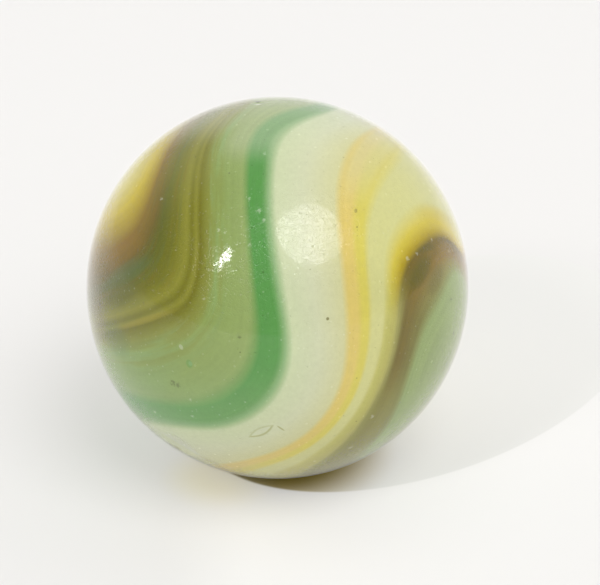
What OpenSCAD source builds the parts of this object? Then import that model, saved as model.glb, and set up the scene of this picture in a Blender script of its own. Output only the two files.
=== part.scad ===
// A swirl-glass playing marble: one solid ball of glass, marked by play.
// The origin is the ball's centre and +Z points up. The front is the -Y side.
// A mark's place is [turn, rise]: the angle round the ball from the front
// towards the right (+X), then the angle above the ball's middle, in degrees.

/* [Ball] */
// Diameter of the ball
marble_d = 16; // [10:0.5:35]

/* [Bruise] */
// Width of the round bruise from a hard knock, low on the left
bruise_w = 1.7; // [0.8:0.1:3]
// Depth of the bruise below its rim
bruise_hollow = 0.03; // [0.01:0.01:0.1]
// Place of the bruise on the ball
bruise_at = [-37, -34]; // [-90:1:90]

/* [Flake] */
// Length of the leaf-shaped scar left by a flake of glass
flake_long = 1.15; // [0.8:0.05:2]
// Width of the scar at its middle
flake_w = 0.36; // [0.2:0.02:0.6]
// Place of the scar on the ball
flake_at = [-4.5, -18]; // [-90:0.5:90]
// Slant of the scar, upwards to the right
flake_slant = 38; // [-90:1:90]

/* [Pits] */
// Width of the pit just behind the ball's top
top_pit_w = 0.3; // [0.1:0.05:0.6]
// Place of that pit
top_pit_at = [-148, 80]; // [-180:1:180]
// Width of the burst bubble left of the front
bubble_w = 0.26; // [0.1:0.02:0.6]
// Place of the bubble
bubble_at = [-25, 3]; // [-90:1:90]
// Width of the small pricks
prick_w = 0.14; // [0.08:0.02:0.3]
// Place of the prick right of the front
front_prick_at = [15, 19]; // [-90:1:90]
// Place of the prick on the upper right
upper_prick_at = [33, 46]; // [-90:1:90]
// Depth of every pit and prick below its rim
pit_hollow = 0.03; // [0.01:0.01:0.05]

/* [Hidden] */
// Glass green, the ground that the swirls lie in
glass_green = [0.60, 0.67, 0.41];
// Facets round the ball and round the tools that mark it
ball_fn = 240;
tool_fn = 180;
marble_r = marble_d / 2;

// Radius of the round tool whose cut is `reach` wide each side and `hollow` deep
function tool_r(reach, hollow) = (reach * reach + hollow * hollow) / (2 * hollow);

// Distance from the ball's centre to a chord that reaches `reach` each side
function chord_at(reach) = sqrt(marble_r * marble_r - reach * reach);

// Stands its children at a mark's place, with -Y pointing out of the ball
module at_mark(place) {
    rotate([0, 0, place[0]])
        rotate([-place[1], 0, 0])
            children();
}

// Cuts a round dish, `width` across its rim and `hollow` below it
module dish(place, width, hollow) {
    radius = tool_r(width / 2, hollow);
    at_mark(place)
        translate([0, hollow - radius - chord_at(width / 2), 0])
            sphere(r = radius, $fn = tool_fn);
}

// Cuts a leaf-shaped scar. A cylinder lies along the scar, sunk so far that it
// leaves the ball at the scar's two ends, and its radius sets the width.
module leaf(place, slant, long, width) {
    floor_at = chord_at(long / 2);
    radius = tool_r(width / 2, chord_at(width / 2) - floor_at);
    at_mark(place)
        translate([0, -floor_at - radius, 0])
            rotate([0, -slant, 0])
                rotate([0, 90, 0])
                    cylinder(r = radius, h = 2 * long, center = true, $fn = tool_fn);
}

// The whole ball, less the glass that play has knocked out of it
module marble() {
    color(glass_green)
        difference() {
            sphere(d = marble_d, $fn = ball_fn);
            dish(bruise_at, bruise_w, bruise_hollow);
            leaf(flake_at, flake_slant, flake_long, flake_w);
            dish(top_pit_at, top_pit_w, pit_hollow);
            dish(bubble_at, bubble_w, pit_hollow);
            for (place = [front_prick_at, upper_prick_at])
                dish(place, prick_w, pit_hollow);
        }
}

marble();
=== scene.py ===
import math

import bpy
import numpy as np
from mathutils import Matrix


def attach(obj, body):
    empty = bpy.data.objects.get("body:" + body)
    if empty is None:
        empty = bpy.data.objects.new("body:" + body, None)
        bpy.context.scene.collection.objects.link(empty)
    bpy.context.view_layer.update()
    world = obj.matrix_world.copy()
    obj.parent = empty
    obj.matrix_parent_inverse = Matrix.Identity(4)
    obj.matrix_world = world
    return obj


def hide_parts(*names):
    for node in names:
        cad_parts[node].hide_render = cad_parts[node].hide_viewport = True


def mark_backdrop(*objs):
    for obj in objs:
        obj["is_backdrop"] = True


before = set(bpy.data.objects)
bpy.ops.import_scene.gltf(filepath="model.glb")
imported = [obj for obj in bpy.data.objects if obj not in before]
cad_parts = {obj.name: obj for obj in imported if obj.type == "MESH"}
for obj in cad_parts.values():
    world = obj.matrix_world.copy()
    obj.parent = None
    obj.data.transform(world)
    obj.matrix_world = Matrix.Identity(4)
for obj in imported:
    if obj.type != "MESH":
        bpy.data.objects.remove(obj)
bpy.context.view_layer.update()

# A swirl-glass playing marble on a pale floor. Everything is in metres and in the frame of the
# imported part: the ball's centre is the origin, +Z is up and the front is the -Y side.
MM = 0.001
RADIUS = 8.0                                        # of the ball, in mm

# ---------------------------------------------------------------- the viewer's sheet
# The swirls are drawn on a flat sheet held in front of the viewer, in mm right of and above
# the ball's middle. The outline of the ball on that sheet is a circle of RADIUS.
EYE_RISE = math.radians(27.6)                       # the eye looks down on the ball by this
EYE_AWAY = 12.0                                     # distance of the eye, in radii of the ball
SHEET_RIGHT = np.array([1.0, 0.0, 0.0])
SHEET_UP = np.array([0.0, math.sin(EYE_RISE), math.cos(EYE_RISE)])
SHEET_OUT = np.array([0.0, -math.cos(EYE_RISE), math.sin(EYE_RISE)])


def on_ball(drawn, far=False):
    """Drops points of the sheet on the ball: the line from the eye E through the point,
    E + t d, meets the unit ball where t^2 (d.d) + 2 t (E.d) + E.E - 1 = 0. The smaller root
    is the near side, and the larger one the far side."""
    drawn = np.asarray(drawn, float).reshape(-1, 2) / (RADIUS * math.sqrt(EYE_AWAY ** 2 - 1))
    ray = drawn[:, :1] * SHEET_RIGHT + drawn[:, 1:] * SHEET_UP - SHEET_OUT
    a = (ray * ray).sum(1)
    b = EYE_AWAY * (ray @ SHEET_OUT)
    root = np.sqrt(np.maximum(b * b - a * (EYE_AWAY ** 2 - 1), 0.0))
    t = (-b + root if far else -b - root) / a
    point = EYE_AWAY * SHEET_OUT + t[:, None] * ray
    return point / np.linalg.norm(point, axis=1)[:, None]


# ---------------------------------------------------------------- how the glass was drawn out
# Each seam of the swirl has a level, its place in the order of the bands from left to right,
# and a few points, from the top of the ball down to its lower left.
SEAMS = {
    "gold edge": (-8.4, [(-3.9, 6.9), (-4.6, 5.8), (-5.1, 4.7), (-5.6, 3.5), (-6.3, 2.5),
                         (-7.8, 1.9)]),
    "brown edge": (-6.0, [(-2.6, 7.5), (-4.0, 6.0), (-4.7, 4.0), (-5.1, 2.2), (-5.9, 1.0),
                          (-8.0, -0.3)]),
    "dark stream": (-3.6, [(-1.7, 7.8), (-2.9, 6.3), (-3.35, 5.0), (-3.5, 3.0), (-3.5, 1.4),
                           (-3.8, 0.0), (-4.8, -1.0), (-6.2, -1.5), (-7.8, -1.8)]),
    "leaf edge": (-2.9, [(-1.2, 7.9), (-2.6, 6.2), (-2.9, 4.0), (-2.9, 1.5), (-3.2, -0.5),
                         (-4.0, -1.5), (-5.5, -2.2), (-7.6, -2.5)]),
    "emerald left": (-1.0, [(1.8, 7.7), (0.1, 7.2), (-1.0, 6.2), (-1.2, 4.0), (-1.0, 1.0),
                            (-0.8, -2.0), (-1.4, -3.8), (-3.0, -4.8), (-5.0, -4.8),
                            (-6.7, -4.3)]),
    "emerald right": (-0.2, [(2.5, 7.5), (0.5, 6.7), (-0.2, 5.6), (-0.3, 3.0), (0.1, 0.0),
                             (0.4, -2.0), (0.3, -3.4), (-0.5, -4.8), (-2.1, -5.7),
                             (-4.0, -5.7), (-5.9, -5.4)]),
    "amber left": (2.8, [(4.3, 6.7), (3.4, 6.0), (2.8, 4.3), (2.8, 2.3), (3.0, 0.0),
                         (3.1, -2.0), (2.8, -4.1), (1.7, -5.8), (0.0, -6.9), (-2.6, -7.6)]),
    "lemon right": (3.9, [(5.4, 5.9), (4.4, 4.7), (3.75, 2.8), (3.8, 0.9), (3.9, -1.0),
                          (3.7, -3.2), (2.9, -5.2), (1.5, -6.7), (-1.5, -7.8)]),
    "yellow left": (5.0, [(7.4, 3.0), (6.2, 3.5), (5.3, 2.9), (4.6, 1.4), (4.6, -1.0),
                          (4.3, -3.0), (3.6, -4.8), (2.4, -6.2), (0.0, -8.0)]),
    "olive left": (6.3, [(7.8, 1.1), (7.3, 1.9), (6.8, 2.1), (6.2, 1.8), (5.4, 0.7),
                         (5.1, -0.9), (4.8, -2.8), (4.0, -4.8), (2.8, -6.5), (0.9, -7.9)]),
    "olive right": (8.8, [(7.9, 0.4), (7.5, 1.0), (6.9, 0.0), (6.1, -1.4), (5.6, -3.0),
                          (5.0, -4.7), (4.3, -6.0), (3.0, -7.3)]),
    "fern middle": (10.4, [(7.9, -0.9), (7.1, -1.9), (6.3, -3.7), (5.3, -6.0)]),
}


def near_line(points, steps=3):
    """A smooth curve through the points. From B to C, with A before and D after, it is
    B + (C - A) u / 2 + (2A - 5B + 4C - D) u^2 / 2 + (3B - 3C + D - A) u^3 / 2."""
    p = np.array(points, float)
    p = np.concatenate([[2 * p[0] - p[1]], p, [2 * p[-1] - p[-2]]])
    a, b, c, d = (q[:, None] for q in (p[:-3], p[1:-2], p[2:-1], p[3:]))
    u = np.linspace(0, 1, steps, endpoint=False)[None, :, None]
    line = (b + (c - a) * u / 2 + (2 * a - 5 * b + 4 * c - d) * u ** 2 / 2
            + (3 * b - 3 * c + d - a) * u ** 3 / 2)
    return np.concatenate([line.reshape(-1, 2), p[-2:-1]])


def far_bow(points, steps=9):
    """The seam on the far side, as if the ball were clear: one plain bow from the first point
    F to the last L, (1 - t)^2 F + 2 t (1 - t) H + t^2 L. Its handle H is halfway from their
    middle to the corner below F and beside L. Its ends are left free, to turn smoothly."""
    first, last = np.array(points[0], float), np.array(points[-1], float)
    handle = (first + last) / 4 + np.array([first[0], last[1]]) / 2
    t = np.linspace(0, 1, steps)[2:-2, None]
    return (1 - t) ** 2 * first + 2 * t * (1 - t) * handle + t ** 2 * last


def distances(points, stations):
    """Straight distance of every unit point from every unit station: sqrt(2 - 2 p.s)."""
    return np.sqrt(np.maximum(2.0 - 2.0 * points @ stations.T, 0.0))


def swirl_levels(points, give=2e-3):
    """The level of the swirl at unit points: c + g.p + sum of w * distance^3 over the
    stations, with the weights that bring every seam to its own level, give or take a little."""
    stations, levels = [], []
    for level, points_set in SEAMS.values():
        near, far = near_line(points_set), far_bow(points_set)
        stations += [on_ball(near), on_ball(far, far=True)]
        levels += [level] * (len(near) + len(far))
    stations = np.concatenate(stations)
    count = len(stations)
    plane = np.concatenate([np.ones((count, 1)), stations], axis=1)
    system = np.zeros((count + 4, count + 4))
    system[:count, :count] = distances(stations, stations) ** 3 + give * np.eye(count)
    system[:count, count:] = plane
    system[count:, :count] = plane.T
    weights = np.linalg.solve(system, np.array(levels + [0.0] * 4))
    batches = np.array_split(points, 12)
    return np.concatenate([distances(p, stations) ** 3 @ weights[:count]
                           + weights[count] + p @ weights[count + 1:] for p in batches])


# ---------------------------------------------------------------- marks that play has left
# A mark's place is the turn round the ball from the front towards the right, and the rise
# above the ball's middle, in degrees. Sizes are in mm, and the same as in the part's source.
BRUISE = dict(turn=-37, rise=-34, width=1.7, hollow=0.03)
FLAKE = dict(turn=-4.5, rise=-18, slant=38, long=1.15, width=0.36)
PITS = [dict(turn=-148, rise=80, width=0.3, hollow=0.03),
        dict(turn=-25, rise=3, width=0.26, hollow=0.03),
        dict(turn=15, rise=19, width=0.14, hollow=0.03),
        dict(turn=33, rise=46, width=0.14, hollow=0.03)]


def mark_axes(turn, rise, slant=0.0):
    """Unit vectors at a mark: out of the ball, along the mark, and across it."""
    t, r, s = (math.radians(a) for a in (turn, rise, slant))
    out = np.array([math.cos(r) * math.sin(t), -math.cos(r) * math.cos(t), math.sin(r)])
    right = np.array([math.cos(t), math.sin(t), 0.0])
    up = np.array([-math.sin(r) * math.sin(t), math.sin(r) * math.cos(t), math.cos(r)])
    return out, math.cos(s) * right + math.sin(s) * up, math.cos(s) * up - math.sin(s) * right


def chord_at(reach):
    """Distance from the ball's centre to a chord that reaches this far each side."""
    return math.sqrt(RADIUS ** 2 - reach ** 2)


def dish_reach(points, turn, rise, width, hollow):
    """How far out the glass goes along each unit point p under a round hollow: the near root
    of |t p - L m| = tool, with m the mark's direction and L the tool's distance."""
    out, _, _ = mark_axes(turn, rise)
    tool = ((width / 2) ** 2 + hollow ** 2) / (2 * hollow)
    away = tool + chord_at(width / 2) - hollow
    along = points @ out
    inside = tool ** 2 - away ** 2 * (1 - along ** 2)
    reach = away * along - np.sqrt(np.maximum(inside, 0.0))
    return np.where((inside > 0) & (along > 0.9), reach, RADIUS)


def leaf_reach(points, turn, rise, slant, long, width):
    """The same under a leaf-shaped scar, which a long cylinder lying along it would cut."""
    out, _, across = mark_axes(turn, rise, slant)
    floor_at = chord_at(long / 2)
    tool = ((width / 2) ** 2 + (chord_at(width / 2) - floor_at) ** 2) \
        / (2 * (chord_at(width / 2) - floor_at))
    away = floor_at + tool
    m, b = points @ out, points @ across
    square = m * m + b * b
    inside = (away * m) ** 2 - square * (away ** 2 - tool ** 2)
    reach = (away * m - np.sqrt(np.maximum(inside, 0.0))) / np.maximum(square, 1e-9)
    return np.where((inside > 0) & (m > 0.9), reach, RADIUS)


# ---------------------------------------------------------------- the ball's surface
CELLS = 128                                         # grid cells along a face of the cube


def cube_ball():
    """Unit points and quads of a cube blown up to a ball. A face's grid runs over u and v
    from -1 to 1, and a point of it is (tan(45 u), tan(45 v), 1) made one long. Shared edges
    are welded by their whole-number places on the cube."""
    step = np.arange(-CELLS, CELLS + 1, 2)
    u, v = (g.ravel() for g in np.meshgrid(step, step, indexing="ij"))
    w = np.full_like(u, CELLS)
    faces = [(w, u, v), (-w, v, u), (v, w, u), (u, -w, v), (u, v, w), (v, u, -w)]
    places = np.concatenate([np.stack(f, axis=1) for f in faces])
    welded, index = np.unique(places, axis=0, return_inverse=True)
    index = index.reshape(6, CELLS + 1, CELLS + 1)
    quads = np.stack([index[:, :-1, :-1], index[:, 1:, :-1],
                      index[:, 1:, 1:], index[:, :-1, 1:]], axis=-1).reshape(-1, 4)
    points = np.tan(welded / CELLS * math.pi / 4)
    return points / np.linalg.norm(points, axis=1)[:, None], quads


def make_marble():
    """The ball: each unit point goes out to RADIUS, or as far as the marks leave the glass."""
    points, quads = cube_ball()
    reach = dish_reach(points, **BRUISE)
    reach = np.minimum(reach, leaf_reach(points, **FLAKE))
    for pit in PITS:
        reach = np.minimum(reach, dish_reach(points, **pit))
    mesh = bpy.data.meshes.new("glass_ball")
    mesh.from_pydata([], [], [])
    mesh.vertices.add(len(points))
    mesh.vertices.foreach_set("co", (points * (np.minimum(reach, RADIUS) * MM)[:, None]).ravel())
    mesh.loops.add(quads.size)
    mesh.loops.foreach_set("vertex_index", quads.ravel().astype(np.int32))
    mesh.polygons.add(len(quads))
    mesh.polygons.foreach_set("loop_start", np.arange(0, quads.size, 4, dtype=np.int32))
    mesh.update(calc_edges=True)
    mesh.polygons.foreach_set("use_smooth", np.ones(len(quads), bool))
    level = mesh.attributes.new("swirl", "FLOAT", "POINT")
    level.data.foreach_set("value", swirl_levels(points).astype(np.float32))
    mesh.validate()
    ball = bpy.data.objects.new("glass_ball", mesh)
    bpy.context.scene.collection.objects.link(ball)
    return ball


# ---------------------------------------------------------------- writing a finish
class Amount:
    """The output of a node. Sums written with it add the Math nodes they need."""

    def __init__(self, finish, socket):
        self.finish, self.socket = finish, socket

    def work(self, operation, first, second):
        return self.finish.node("ShaderNodeMath", {"operation": operation}, {0: first, 1: second})

    def __add__(self, other):
        return self.work("ADD", self, other)

    def __sub__(self, other):
        return self.work("SUBTRACT", self, other)

    def __mul__(self, other):
        return self.work("MULTIPLY", self, other)

    def __truediv__(self, other):
        return self.work("DIVIDE", self, other)

    def __pow__(self, other):
        return self.work("POWER", self, other)

    def __rsub__(self, other):
        return self.work("SUBTRACT", other, self)

    __radd__ = __add__
    __rmul__ = __mul__

    def most(self, other):
        return self.work("MAXIMUM", self, other)

    def size(self):
        return self.work("ABSOLUTE", self, 0.0)


class Finish:
    """A node tree that is filled from Python."""

    def __init__(self, owner):
        owner.use_nodes = True
        self.tree = owner.node_tree
        self.tree.nodes.clear()

    def node(self, kind, settings=None, inputs=None, output=0):
        made = self.tree.nodes.new(kind)
        for name, value in (settings or {}).items():
            if name == "stops":
                self.set_stops(made.color_ramp, value)
            else:
                setattr(made, name, value)
        for name, value in (inputs or {}).items():
            if isinstance(value, Amount):
                self.tree.links.new(value.socket, made.inputs[name])
            else:
                made.inputs[name].default_value = value
        return Amount(self, made.outputs[output]) if len(made.outputs) else made

    def set_stops(self, ramp, stops):
        ramp.elements[0].position, ramp.elements[0].color = stops[0][0], (*stops[0][1], 1.0)
        ramp.elements[1].position, ramp.elements[1].color = stops[-1][0], (*stops[-1][1], 1.0)
        for place, colour in stops[1:-1]:
            ramp.elements.new(place).color = (*colour, 1.0)

    def mix(self, share, first, second, blend="MIX"):
        first, second = (c if isinstance(c, Amount) else (*c, 1.0) for c in (first, second))
        return self.node("ShaderNodeMix", {"data_type": "RGBA", "blend_type": blend},
                         {0: share, 6: first, 7: second}, output=2)

    def along(self, place, axis):
        return self.node("ShaderNodeVectorMath", {"operation": "DOT_PRODUCT"},
                         {0: place, 1: tuple(float(a) for a in axis)}, output="Value")

    def above(self, value, limit):
        return self.node("ShaderNodeMath", {"operation": "GREATER_THAN"}, {0: value, 1: limit})

    def join(self, x, y, z):
        return self.node("ShaderNodeCombineXYZ", None, {"X": x, "Y": y, "Z": z})

    def scaled(self, vector, times):
        return self.node("ShaderNodeVectorMath", {"operation": "SCALE"},
                         {"Vector": vector, "Scale": times})

    def shifted(self, vector, by):
        return self.node("ShaderNodeVectorMath", {"operation": "ADD"},
                         {0: vector, 1: (by, by, by)})

    def rise(self, value, start, end):
        return self.node("ShaderNodeMapRange", {"interpolation_type": "SMOOTHSTEP"},
                         {"Value": value, "From Min": start, "From Max": end})


def chart(red, green, blue):
    """A colour as a colour chart names it, 0 to 255, turned into light."""
    return tuple(c / 12.92 if c <= 0.04045 else ((c + 0.055) / 1.055) ** 2.4
                 for c in (red / 255, green / 255, blue / 255))


# ---------------------------------------------------------------- the colours of the glass
# One round tone for each glass, and for the dirt, the chips, the painted glints and the painted
# pale wash on it.
GLASS = {
    "straw": chart(200, 190, 90), "gold": chart(190, 170, 5),
    "bark": chart(125, 100, 5), "peat": chart(100, 85, 5), "ivy": chart(85, 90, 5),
    "olive": chart(105, 105, 10), "stream": chart(130, 130, 40), "moss": chart(125, 130, 50),
    "leaf": chart(130, 150, 80), "fern": chart(135, 155, 90), "emerald": chart(80, 140, 65),
    "mint": chart(130, 165, 110), "milk": chart(190, 200, 160), "cream": chart(195, 200, 165),
    "ivory": chart(195, 195, 145), "amber": chart(205, 185, 100), "lemon": chart(200, 190, 85),
    "butter": chart(195, 195, 130), "yellow": chart(195, 180, 60), "brass": chart(165, 145, 5),
    "slate olive": chart(95, 90, 20), "khaki": chart(130, 130, 55), "sand": chart(170, 170, 95),
    "willow": chart(135, 155, 90), "teal": chart(80, 110, 70), "rust": chart(130, 95, 10),
    "ash": chart(120, 110, 85), "wheat": chart(145, 135, 40), "bog": chart(80, 80, 5),
    "orange": chart(170, 110, 5), "pearl": chart(195, 200, 175), "soot": chart(45, 45, 20),
    "chip_and_glint_white": chart(225, 230, 210),
}
# The glasses in the order of the levels, left to right across the front.
BANDS = [(-11.4, "straw"), (-9.8, "gold"), (-7.6, "bark"), (-6.4, "peat"), (-5.6, "ivy"),
         (-4.6, "olive"), (-3.9, "stream"), (-3.6, "olive"), (-3.4, "stream"),
         (-3.2, "olive"), (-2.8, "moss"), (-2.4, "leaf"), (-1.2, "fern"), (-0.9, "emerald"),
         (-0.4, "emerald"), (-0.2, "mint"), (0.1, "milk"), (1.2, "cream"), (2.5, "ivory"),
         (2.8, "amber"), (3.2, "amber"), (3.5, "lemon"), (3.8, "lemon"), (4.1, "butter"),
         (4.9, "butter"), (5.5, "yellow"), (6.0, "brass"), (6.4, "peat"), (7.6, "bark"),
         (8.7, "khaki"), (9.4, "willow"), (11.4, "willow")]


def banding(f, level):
    """Colour of the glass by level, run smoothly from one band to the next."""
    first, last = BANDS[0][0], BANDS[-1][0]
    stops = [((place - first) / (last - first), GLASS[name]) for place, name in BANDS]
    return f.node("ShaderNodeValToRGB", {"stops": stops},
                  {"Fac": (level - first) / (last - first)})


def stroke(start, end):
    """A mark drawn on the viewer's sheet from one place to another: unit vectors out of the
    ball, along the mark and across it, and its length over the glass."""
    ends = on_ball([start, end])
    out = ends.sum(0) / np.linalg.norm(ends.sum(0))
    along = ends[1] - ends[0]
    long = np.linalg.norm(along)
    return (out, along / long, np.cross(out, along / long)), RADIUS * long


def patch(f, place, mark, long, width, blur=0.4, ragged=0.0):
    """Share of an oval patch: 1 inside a^2 + b^2 = 1, where a and b are the distances along
    and across it over its half sizes, and falling to 0 over the blur. A ragged one has its
    edge moved in and out by a fine noise."""
    out, along, across = mark
    a = f.along(place, along * (2 / long))
    b = f.along(place, across * (2 / width))
    oval = 1 - f.rise(a * a + b * b + ragged, 1 - blur, 1 + blur)
    return oval * f.above(f.along(place, out), RADIUS / 2)


def spots(f, place, marks, ragged):
    """Share inside any of a list of small round spots, each a place on the viewer's sheet and
    a width: 1 near its middle, falling to 0 at the width's edge, moved in and out by a noise."""
    share = None
    for right, up, width in marks:
        middle = tuple(float(v) for v in RADIUS * on_ball([(right, up)])[0])
        away = f.node("ShaderNodeVectorMath", {"operation": "DISTANCE"},
                      {0: place, 1: middle}, output="Value")
        one = f.rise(away + ragged * (2.0 * width), 0.75 * width, 0.15 * width)
        share = one if share is None else share.most(one)
    return share


def noise(f, place, scale, detail=2.0, rough=0.5):
    """Cloudy noise from 0 to 1, with its middle at a half."""
    return f.node("ShaderNodeTexNoise", {"noise_dimensions": "3D"},
                  {"Vector": place, "Scale": scale, "Detail": detail, "Roughness": rough})


def grains(f, place, scale, radius, share):
    """Sparse round grains: where the nearest of the scattered points is within radius, for
    the share of the points that a chance number picks."""
    cells = f.node("ShaderNodeTexVoronoi", {"voronoi_dimensions": "3D"},
                   {"Vector": place, "Scale": scale, "Randomness": 1.0})
    chance = f.node("ShaderNodeSeparateColor", None,
                    {"Color": Amount(f, cells.socket.node.outputs["Color"])})
    size = radius * scale
    ragged = size * (noise(f, place, 9.0, 2.0) - 0.5)
    return (1 - f.rise(cells + ragged, 0.3 * size, size)) * f.rise(chance, 1 - share, 1.0)


# Soft patches of tinted glass: its name, the two ends on the sheet, the width, the share.
TINTS = [
    ("rust", (-7.0, 1.0), (-5.6, 2.1), 1.1, 0.3), ("teal", (-7.1, 0.1), (-5.3, 1.1), 0.8, 0.3),
    ("ivy", (-7.1, -0.4), (-5.9, 0.0), 1.1, 0.5), ("ash", (-7.6, 0.3), (-7.3, -1.9), 1.4, 0.4),
    ("wheat", (-6.5, -1.7), (-4.3, -1.0), 0.25, 0.5),
    ("teal", (-7.2, -1.9), (-6.2, -2.4), 1.3, 0.3),
    ("bog", (5.6, 0.0), (6.4, 1.2), 0.8, 0.7), ("bog", (5.9, 1.5), (6.9, 1.9), 0.3, 0.4),
    ("slate olive", (6.4, -0.2), (6.9, 0.9), 0.8, 0.5),
    ("bark", (6.5, 1.9), (7.4, 1.4), 0.6, 0.5), ("willow", (7.4, 0.4), (7.1, -2.1), 0.9, 0.7),
    ("orange", (7.7, 2.2), (7.8, 0.9), 0.5, 0.3), ("gold", (6.0, 3.1), (7.5, 2.5), 0.9, 0.4),
]
# Small whitish chips, with painted glints of the small lamp among them round its highlight,
# and flecks of dirt in old pits: place on the sheet, width.
CHIPS_AND_PAINTED_GLINTS = [(-5.1, -5.2, 0.15), (-3.6, -4.7, 0.1), (-3.5, -5.4, 0.12), (-1.3, -4.8, 0.1),
          (4.0, -5.4, 0.15), (3.1, -6.7, 0.2), (-3.0, -0.5, 0.1), (5.5, 1.2, 0.15),
          (5.9, 1.4, 0.12), (6.5, 2.0, 0.1), (7.2, 1.5, 0.1), (-0.5, 5.6, 0.12),
          (-1.1, 3.7, 0.12), (-0.7, 3.2, 0.15), (-0.5, 2.8, 0.14), (-1.1, 1.8, 0.12),
          (-2.4, 2.4, 0.12), (-2.1, 2.3, 0.1), (-4.8, 3.7, 0.12), (-2.8, 0.7, 0.1)]
FLECKS = [(-4.3, -4.0, 0.22), (-4.1, -4.1, 0.18), (-7.4, -0.7, 0.2), (-1.5, -2.1, 0.12),
          (7.4, -1.9, 0.2), (7.3, -0.5, 0.18), (7.1, -3.2, 0.2), (5.5, -5.5, 0.18),
          (3.0, 7.3, 0.22)]


def glass_bands(f, level, up, right):
    """The bands, and what changes along them. Towards the top the colours are painted paler, as
    painted light: the dark glasses run to stream, the amber to ivory, and a pearl wash comes
    over the top, starting lower on the greens. Towards the foot the greens and the dark band
    on the right pale too. Low down that band is greyer, and its yellow edge dulls to sand."""
    colour = banding(f, level)
    # Painted light: top makes the upper part of the ball paler, through the stream and ivory mixes
    # below.
    top = f.rise(up, 2.6, 5.2)
    foot = (1 - f.rise(up, -5.2, -2.6)).most(
        (1 - f.rise(right, -5.0, -3.0)) * (1 - f.rise(up, -2.0, 0.0)))
    dark = f.rise(level, -7.8, -6.6) * (1 - f.rise(level, -3.4, -2.8))
    amber = f.rise(level, 2.6, 3.0) * (1 - f.rise(level, 3.6, 4.0))
    greens = f.rise(level, -2.8, -1.4) * (1 - f.rise(level, -0.3, 0.1))
    edge = f.rise(level, 4.7, 5.5) * (1 - f.rise(level, 6.2, 7.2))
    tail = f.rise(level, 6.1, 6.7) * (1 - f.rise(level, 8.6, 9.4))
    low = 1 - f.rise(up, -1.6, 1.0)
    colour = f.mix(0.35 * top * dark, colour, GLASS["stream"])
    colour = f.mix(0.5 * top * amber, colour, GLASS["ivory"])
    colour = f.mix(0.35 * foot * greens, colour, GLASS["mint"])
    colour = f.mix(0.6 * low * tail, colour, GLASS["slate olive"])
    colour = f.mix(0.8 * low * edge, colour, GLASS["sand"])
    colour = f.mix(0.7 * foot * tail, colour, GLASS["khaki"])
    # Painted light: a pale pearl wash over the top of the ball, starting lower on the greens.
    painted_top_light = f.rise(up, 5.5, 6.9).most(f.rise(up, 4.7, 5.9) * greens)
    return f.mix(0.27 * painted_top_light, colour, GLASS["pearl"])


def glass_colour(f, place, level):
    """The bands, with fine threads drawn out along them, streaks and tinted patches."""
    up, right = f.along(place, SHEET_UP), f.along(place, SHEET_RIGHT)
    wander = noise(f, f.join(level * 1.3, up * 0.12, right * 0.12), 1.0, 3.0) - 0.5
    threads = noise(f, f.join(level * 7.0, up * 0.25, right * 0.25), 1.0, 3.0, 0.6) - 0.5
    streaks = noise(f, f.join(level * 3.5, up * 0.4, right * 0.4), 1.0, 3.0, 0.6)
    clouds = noise(f, place, 0.35, 3.0) - 0.5
    mottle = noise(f, place, 5.0, 3.0, 0.65) - 0.5
    # Painted shade: middle darkens the bands right of the emerald a little, in a belt from about
    # 4.8 mm below the ball's middle to 1.8 mm above it.
    middle = f.rise(up, -4.8, -2.4) * (1 - f.rise(up, 0.0, 1.8)) * f.rise(level, -0.2, 0.4)
    bend = (1 - f.rise(right, -4.6, -3.4)) * (1 - f.rise(up, -0.9, 0.3))
    bend = bend * f.rise(level, -5.4, -4.4) * (1 - f.rise(level, -2.8, -1.8))
    colour = glass_bands(f, level + wander * 0.12 + bend * 0.17, up, right)
    amber = f.rise(level, 2.7, 2.9) * (1 - f.rise(level, 3.9, 4.2))
    strong = (0.34 - 0.14 * f.rise(level, -4.5, -4.1) - 0.15 * f.rise(level, -0.5, 0.1)
              + 0.08 * amber + 0.3 * f.rise(level, 5.6, 6.3))
    # The middle term here is painted shade; threads, clouds and mottle are the glass's own tone.
    shade = threads * strong + clouds * 0.08 + mottle * 0.16 - middle * 0.05
    colour = f.mix(1.0, colour, 1.0 + shade, "MULTIPLY")
    green = f.rise(level, -3.1, -2.7) * (1 - f.rise(level, -2.3, -1.8))
    colour = f.mix(0.35 * green * f.rise(streaks, 0.48, 0.62), colour, GLASS["moss"])
    colour = f.mix(0.22 * green * (1 - f.rise(streaks, 0.36, 0.5)), colour, GLASS["mint"])
    drawn = f.rise(level, -8.6, -7.6) * (1 - f.rise(level, -4.6, -3.9))
    colour = f.mix(0.14 * drawn * f.rise(streaks, 0.52, 0.68), colour, GLASS["teal"])
    colour = f.mix(0.22 * drawn * (1 - f.rise(streaks, 0.34, 0.48)), colour, GLASS["rust"])
    for name, start, end, width, share in TINTS:
        mark, long = stroke(start, end)
        colour = f.mix(share * patch(f, place, mark, long, width, 0.9), colour, GLASS[name])
    return colour


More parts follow.
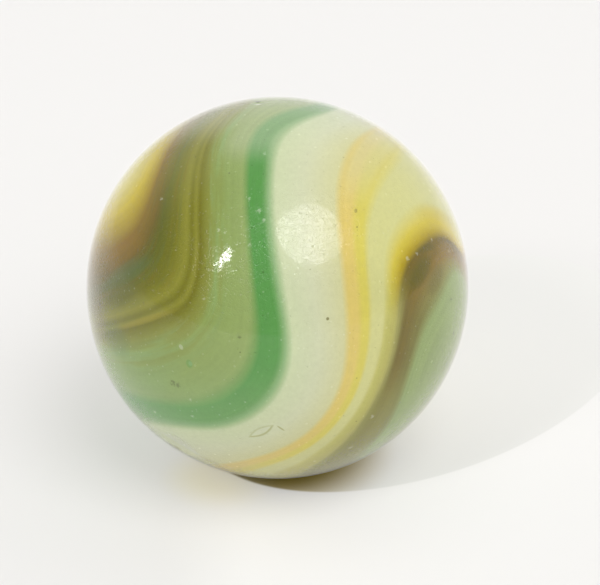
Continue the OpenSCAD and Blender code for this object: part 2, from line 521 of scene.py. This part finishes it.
def marked(f, place, colour):
    """The colour with what play has left on it: bruise, flake, bubbles, chips and dirt, and
    painted glints of the small lamp.
    """
    fine = noise(f, place, 11.0, 2.0) - 0.5

    def tone(colour, glass, share, start, end, width, blur=0.6, ragged=0.0):
        mark, long = stroke(start, end)
        oval = patch(f, place, mark, long, width, blur, ragged * fine)
        return f.mix(share * oval, colour, GLASS[glass])

    colour = tone(colour, "pearl", 0.75, (-4.75, -6.1), (-3.25, -7.0), 0.55)
    colour = tone(colour, "slate olive", 0.55, (-4.65, -6.5), (-4.1, -6.75), 0.5)
    colour = tone(colour, "khaki", 0.3, (-3.0, -7.15), (-2.35, -7.5), 0.4)
    leaf = mark_axes(FLAKE["turn"], FLAKE["rise"], FLAKE["slant"])
    a = f.along(place, leaf[1] * (2 / FLAKE["long"]))
    b = f.along(place, leaf[2] * (2 / FLAKE["width"]))
    reach = (a * a + b.size()) + 10 * (1 - f.above(f.along(place, leaf[0]), RADIUS / 2))
    rim = f.rise(reach, 0.6, 0.95) * (1 - f.rise(reach, 1.0, 1.5))
    colour = f.mix(rim * (0.5 - 0.25 * f.rise(b, -0.3, 0.3)), colour, GLASS["khaki"])
    colour = f.mix(0.35 * (1 - f.rise(reach, 0.3, 0.8)), colour, GLASS["pearl"])
    colour = tone(colour, "khaki", 0.5, (0.05, -5.8), (0.35, -6.0), 0.08)
    colour = tone(colour, "pearl", 0.4, (-4.03, -2.4), (-3.9, -2.6), 0.16)
    colour = tone(colour, "emerald", 0.45, (-3.75, -3.2), (-3.5, -3.2), 0.34, 0.3)
    colour = tone(colour, "mint", 0.55, (-3.67, -3.2), (-3.5, -3.2), 0.2)
    colour = tone(colour, "soot", 0.7, (-0.88, 7.77), (-0.7, 7.77), 0.3)
    colour = tone(colour, "chip_and_glint_white", 0.8, (-0.88, 7.66), (-0.68, 7.66), 0.16)
    for right, up, width, share in ((2.18, -1.32, 0.13, 0.75), (3.35, 3.2, 0.19, 0.5)):
        colour = tone(colour, "slate olive", share, (right - 0.06, up + 0.02),
                      (right + 0.06, up - 0.02), width)
    # Painted highlight in part: round the small lamp's highlight these spots are painted glints of
    # that lamp; elsewhere they are whitish chips.
    colour = f.mix(0.24 * spots(f, place, CHIPS_AND_PAINTED_GLINTS, fine), colour, GLASS["chip_and_glint_white"])
    colour = f.mix(0.45 * spots(f, place, FLECKS, fine), colour, GLASS["soot"])
    crowd = f.rise(noise(f, place, 0.5, 1.0), 0.35, 0.65)
    colour = f.mix(0.18 * crowd * grains(f, place, 4.5, 0.05, 0.5), colour, GLASS["chip_and_glint_white"])
    return f.mix(0.5 * grains(f, f.shifted(place, 40.0), 2.2, 0.05, 0.3), colour, GLASS["soot"])


def worn_skin(f, place):
    """Height of the skin in mm: a faint ripple, fine grain, hairline scuffs, a net of fine
    etched lines and pin pricks."""
    long_grain = f.node("ShaderNodeMapping", None, {
        "Vector": place, "Rotation": (0.5, 0.9, 0.3), "Scale": (0.25, 3.0, 0.25)})
    hair = 1 - f.rise((noise(f, long_grain, 1.0, 2.0) - 0.5).size(), 0.002, 0.012)
    etched = 1 - f.rise((noise(f, place, 6.5, 2.0) - 0.5).size(), 0.0, 0.06)
    pricks = grains(f, f.shifted(place, 15.0), 4.5, 0.055, 0.5)
    return (0.0012 * noise(f, place, 1.1, 1.0) + 0.0022 * noise(f, place, 7.0, 3.0, 0.6)
            - 0.0012 * hair - 0.004 * etched - 0.015 * pricks)


def swirl_glass():
    """Opaque swirled glass with a polished, lightly played skin."""
    material = bpy.data.materials.new("swirl_glass")
    f = Finish(material)
    level = f.node("ShaderNodeAttribute", {"attribute_name": "swirl"}, output="Fac")
    metres = f.node("ShaderNodeTexCoord", output="Object")
    place = f.scaled(metres, 1 / MM)
    # Painted shade: the ball's bottom cap is darkened towards peat, from 6.8 mm below the middle
    # and fully from 7.2 mm, so the floor under the contact stays dark.
    under = 1 - f.rise(f.along(place, (0, 0, 1)), -7.2, -6.8)
    colour = marked(f, place, glass_colour(f, place, level))
    colour = f.mix(0.85 * under, colour, GLASS["peat"])
    bump = f.node("ShaderNodeBump", None, {
        "Strength": 1.0, "Distance": MM, "Height": worn_skin(f, place)})
    scuffs = f.rise(noise(f, place, 6.0, 4.0, 0.7), 0.48, 0.75)
    pocks = grains(f, f.shifted(place, 25.0), 3.2, 0.09, 0.5)
    rough = 0.015 + 0.03 * scuffs + 0.4 * pocks
    skin = f.node("ShaderNodeBsdfPrincipled", None, {
        "Base Color": colour, "Roughness": rough, "IOR": 1.5, "Normal": bump,
        "Coat Weight": 1.0, "Coat IOR": 1.15, "Coat Roughness": 0.015})
    f.node("ShaderNodeOutputMaterial", None, {"Surface": skin})
    return material


# ---------------------------------------------------------------- the studio
SOFTBOX = (0.325, -0.468, 0.822)                    # the way to it from the ball
SMALL_LAMP = (-0.513, -0.601, 0.613)
LAMP_AWAY = 1.0                                     # distance of both from the ball, in m
SOFTBOX_GLOW = 6.6
SMALL_LAMP_GLOW = 34.0
PAPER_WIDE = 3.0                                    # across the floor's disc, in m
BACKDROP = 0.9                                      # its brightness to the eye
LENS = 137.2                                        # of the camera, in mm
ASIDE, BELOW = 0.944, 0.206                         # how far the eye is moved, in mm


def show(name, mesh, material):
    mesh.materials.append(material)
    made = bpy.data.objects.new(name, mesh)
    bpy.context.scene.collection.objects.link(made)
    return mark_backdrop(made)


def flat_shape(name, corners):
    mesh = bpy.data.meshes.new(name)
    mesh.from_pydata([tuple(map(float, c)) for c in corners], [], [tuple(range(len(corners)))])
    return mesh


def make_floor():
    """A pale paper disc under the ball, with painted shade and light on it: a painted olive
    shadow on the paper beside the contact, inside the edge of the small lamp's shadow, a
    painted yellow-brown glow at the left of it, a faint painted green in the rest of that
    shadow, and painted extra light outside it near the ball, towards the right.
    That edge is the oval ((s - reach) / (r / sin e))^2 + (t / r)^2 = 1, where s runs away from
    the lamp, t runs across, e is the lamp's height in degrees and reach is r / tan e."""
    angle = np.linspace(0, 2 * math.pi, 96, endpoint=False)
    corners = np.stack([PAPER_WIDE / 2 * np.cos(angle), PAPER_WIDE / 2 * np.sin(angle),
                        0 * angle - RADIUS * MM], axis=1)
    material = bpy.data.materials.new("floor_paper")
    f = Finish(material)
    place = f.scaled(f.node("ShaderNodeTexCoord", output="Object"), 1 / MM)
    lamp = np.array(SMALL_LAMP) / np.linalg.norm(SMALL_LAMP)
    away = -lamp[:2] / np.linalg.norm(lamp[:2])
    height, flat = lamp[2], math.hypot(lamp[0], lamp[1])
    s = (f.along(place, (*away, 0)) - RADIUS * flat / height) * (height / RADIUS)
    t = f.along(place, (-away[1], away[0], 0)) * (1 / RADIUS)
    ground = f.node("ShaderNodeVectorMath", {"operation": "DISTANCE"},
                    {0: place, 1: (0.0, 0.0, -RADIUS)}, output="Value")
    # Painted shadow: lit is 0 inside the oval of the small lamp's shadow and 1 outside it, with a
    # sharp edge.
    lit = f.rise(s * s + t * t, 0.985, 1.015)
    # Painted shadow: dark olive on the paper inside that oval, within a few mm of the contact.
    painted_olive_shadow = (1 - lit) * (1 - f.rise(ground, 2.4, 5.4))
    # Painted light: extra brightness on the paper outside that oval, near the ball and towards the
    # right.
    front = lit * (1 - f.rise(ground, 8.0, 24.0)) * f.rise(f.along(place, SHEET_RIGHT), -5.0, -0.5)
    # Painted light: a yellow-brown glow on the paper just left of and in front of the contact.
    glow = f.node("ShaderNodeVectorMath", {"operation": "DISTANCE"},
                  {0: place, 1: (-2.4, -2.1, -RADIUS)}, output="Value")
    painted_warm_glow = 0.7 * (1 - f.rise(glow, 0.6, 3.0))
    ray = f.node("ShaderNodeLightPath")
    seen = Amount(f, ray.socket.node.outputs["Is Camera Ray"])
    # Painted shadow tint: the paper is a touch greener inside the small lamp's shadow; the olive
    # and the glow are painted over it.
    paper = f.mix(lit, (0.499, 0.503, 0.485), (0.5, 0.498, 0.488))
    paper = f.mix(painted_warm_glow, f.mix(painted_olive_shadow, paper, (0.52, 0.41, 0.1)), (0.53, 0.49, 0.32))
    colour = f.mix(seen, (0.8, 0.794, 0.78), paper)
    # The glow the camera sees carries the same painted light and shade: yellower in the painted
    # glow, brighter in the painted extra light, and gone in the painted olive shadow.
    lift = f.mix(painted_warm_glow, (0.3, 0.298, 0.293), (0.31, 0.295, 0.22))
    lift = f.mix(seen * (1 - painted_olive_shadow), (0.0, 0.0, 0.0), f.mix(0.12 * front, lift, (1.0, 1.0, 0.99)))
    paper = f.node("ShaderNodeBsdfPrincipled", None, {
        "Base Color": colour, "Roughness": 1.0, "Specular IOR Level": 0.0,
        "Emission Color": lift, "Emission Strength": 1.0})
    f.node("ShaderNodeOutputMaterial", None, {"Surface": paper})
    show("floor", flat_shape("floor", corners), material)


def creased_cloth(f, place, slant, tint):
    """The glow of a softbox's worn cloth front: weaker at the lower right, cloudy with fine
    creases and spotted."""
    creases = f.rise(noise(f, place, 20.0, 2.0, 0.6), 0.42, 0.54)
    through = ((0.6 + 0.4 * f.rise(slant, -0.45, -0.15)) * (0.5 + 0.5 * creases)
               * (1 - 0.7 * grains(f, place, 14.0, 0.03, 0.8)))
    return f.mix(through, (0.0, 0.0, 0.0), tint)


def make_light(name, towards, away, corners, strength, tint, creased=False):
    """A flat lamp of any outline, facing the ball: its corners are in degrees of view."""
    towards = np.array(towards) / np.linalg.norm(towards)
    side = np.cross([0.0, 0.0, 1.0], towards)
    side /= np.linalg.norm(side)
    top = np.cross(towards, side)
    spread = np.tan(np.radians(np.array(corners, float)))
    shape = away * (towards + spread[:, :1] * side + spread[:, 1:] * top)
    material = bpy.data.materials.new(name)
    f = Finish(material)
    place = f.scaled(f.node("ShaderNodeTexCoord", output="Object"), 1 / away)
    colour = creased_cloth(f, place, f.along(place, top - side), tint) if creased else (*tint, 1.0)
    glow = f.node("ShaderNodeEmission", None, {"Color": colour, "Strength": strength})
    f.node("ShaderNodeOutputMaterial", None, {"Surface": glow})
    show(name, flat_shape(name, shape), material)


def lamp_oval(wide, high, square, count=32):
    """Corners in degrees of (|x| / wide)^square + (|y| / high)^square = 1."""
    a = np.linspace(0, 2 * math.pi, count, endpoint=False)
    c, s = np.cos(a), np.sin(a)
    return np.stack([wide * np.sign(c) * np.abs(c) ** (2 / square),
                     high * np.sign(s) * np.abs(s) ** (2 / square)], axis=1)


# The small lamp's ragged outline, in degrees right of and above its middle.
LAMP_EDGE = [(0, 8), (3, 6), (4, 2), (1, -3), (0, -8), (-1, -4), (-5, -5), (-2, -1), (-1, 3)]


def make_lights():
    """A large softbox high on the right, and a small hard lamp high on the left."""
    make_light("softbox", SOFTBOX, LAMP_AWAY, lamp_oval(18.5, 17.5, 2.4), SOFTBOX_GLOW,
               (1.0, 0.97, 1.0), creased=True)
    make_light("small_lamp", SMALL_LAMP, LAMP_AWAY, LAMP_EDGE, SMALL_LAMP_GLOW, (1.0, 1.0, 1.0))


def make_world():
    """Soft light all round, brighter low down than overhead, and a pale backdrop for the eye
    and for the reflections, brighter behind than on the viewer's side."""
    world = bpy.data.worlds.new("studio")
    bpy.context.scene.world = world
    f = Finish(world)
    around = f.node("ShaderNodeTexCoord", None, None, "Generated")
    height = f.along(around, (0, 0, 1))
    ray = f.node("ShaderNodeLightPath")
    path = lambda name: Amount(f, ray.socket.node.outputs[name])
    behind = f.along(around, (0, 1, 0))
    back = f.rise(behind, -0.3, 0.3)
    low = (1.5 + 0.83 * back) * f.rise(height, 0.15, 0.35)
    high = 0.15 + 0.45 * back
    light = low + (high - low) * f.rise(height, 0.45, 0.75)
    mirrored = 0.4 + 0.35 * f.rise((behind + 0.5 - 0.65 * height) / (0.85 - 0.65 * height), 0, 1)
    shown = path("Is Glossy Ray").most(path("Is Transmission Ray"))
    strength = light + shown * (mirrored - light)
    strength = strength + path("Is Camera Ray") * (BACKDROP - strength)
    sky = f.node("ShaderNodeBackground", None, {
        "Color": (1.0, 0.992, 0.975, 1.0), "Strength": strength})
    f.node("ShaderNodeOutputWorld", None, {"Surface": sky})


def make_camera():
    """Stands EYE_AWAY radii off and looks along SHEET_OUT, moved a little sideways."""
    data = bpy.data.cameras.new("camera")
    data.sensor_fit, data.sensor_width = "HORIZONTAL", 36.0
    data.lens = LENS
    data.clip_start = 0.001
    camera = bpy.data.objects.new("camera", data)
    at = (SHEET_OUT * RADIUS * EYE_AWAY + SHEET_RIGHT * ASIDE - SHEET_UP * BELOW) * MM
    turn = np.eye(4)
    turn[:3, 0], turn[:3, 1], turn[:3, 2], turn[:3, 3] = SHEET_RIGHT, SHEET_UP, SHEET_OUT, at
    camera.matrix_world = Matrix(turn.tolist())
    bpy.context.scene.collection.objects.link(camera)
    bpy.context.scene.camera = camera


marble = make_marble()
marble.data.materials.append(swirl_glass())
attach(marble, "root")
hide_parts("marble")
make_floor()
make_lights()
make_world()
make_camera()
bpy.context.scene.view_settings.view_transform = "Standard"

bpy.context.view_layer.update()
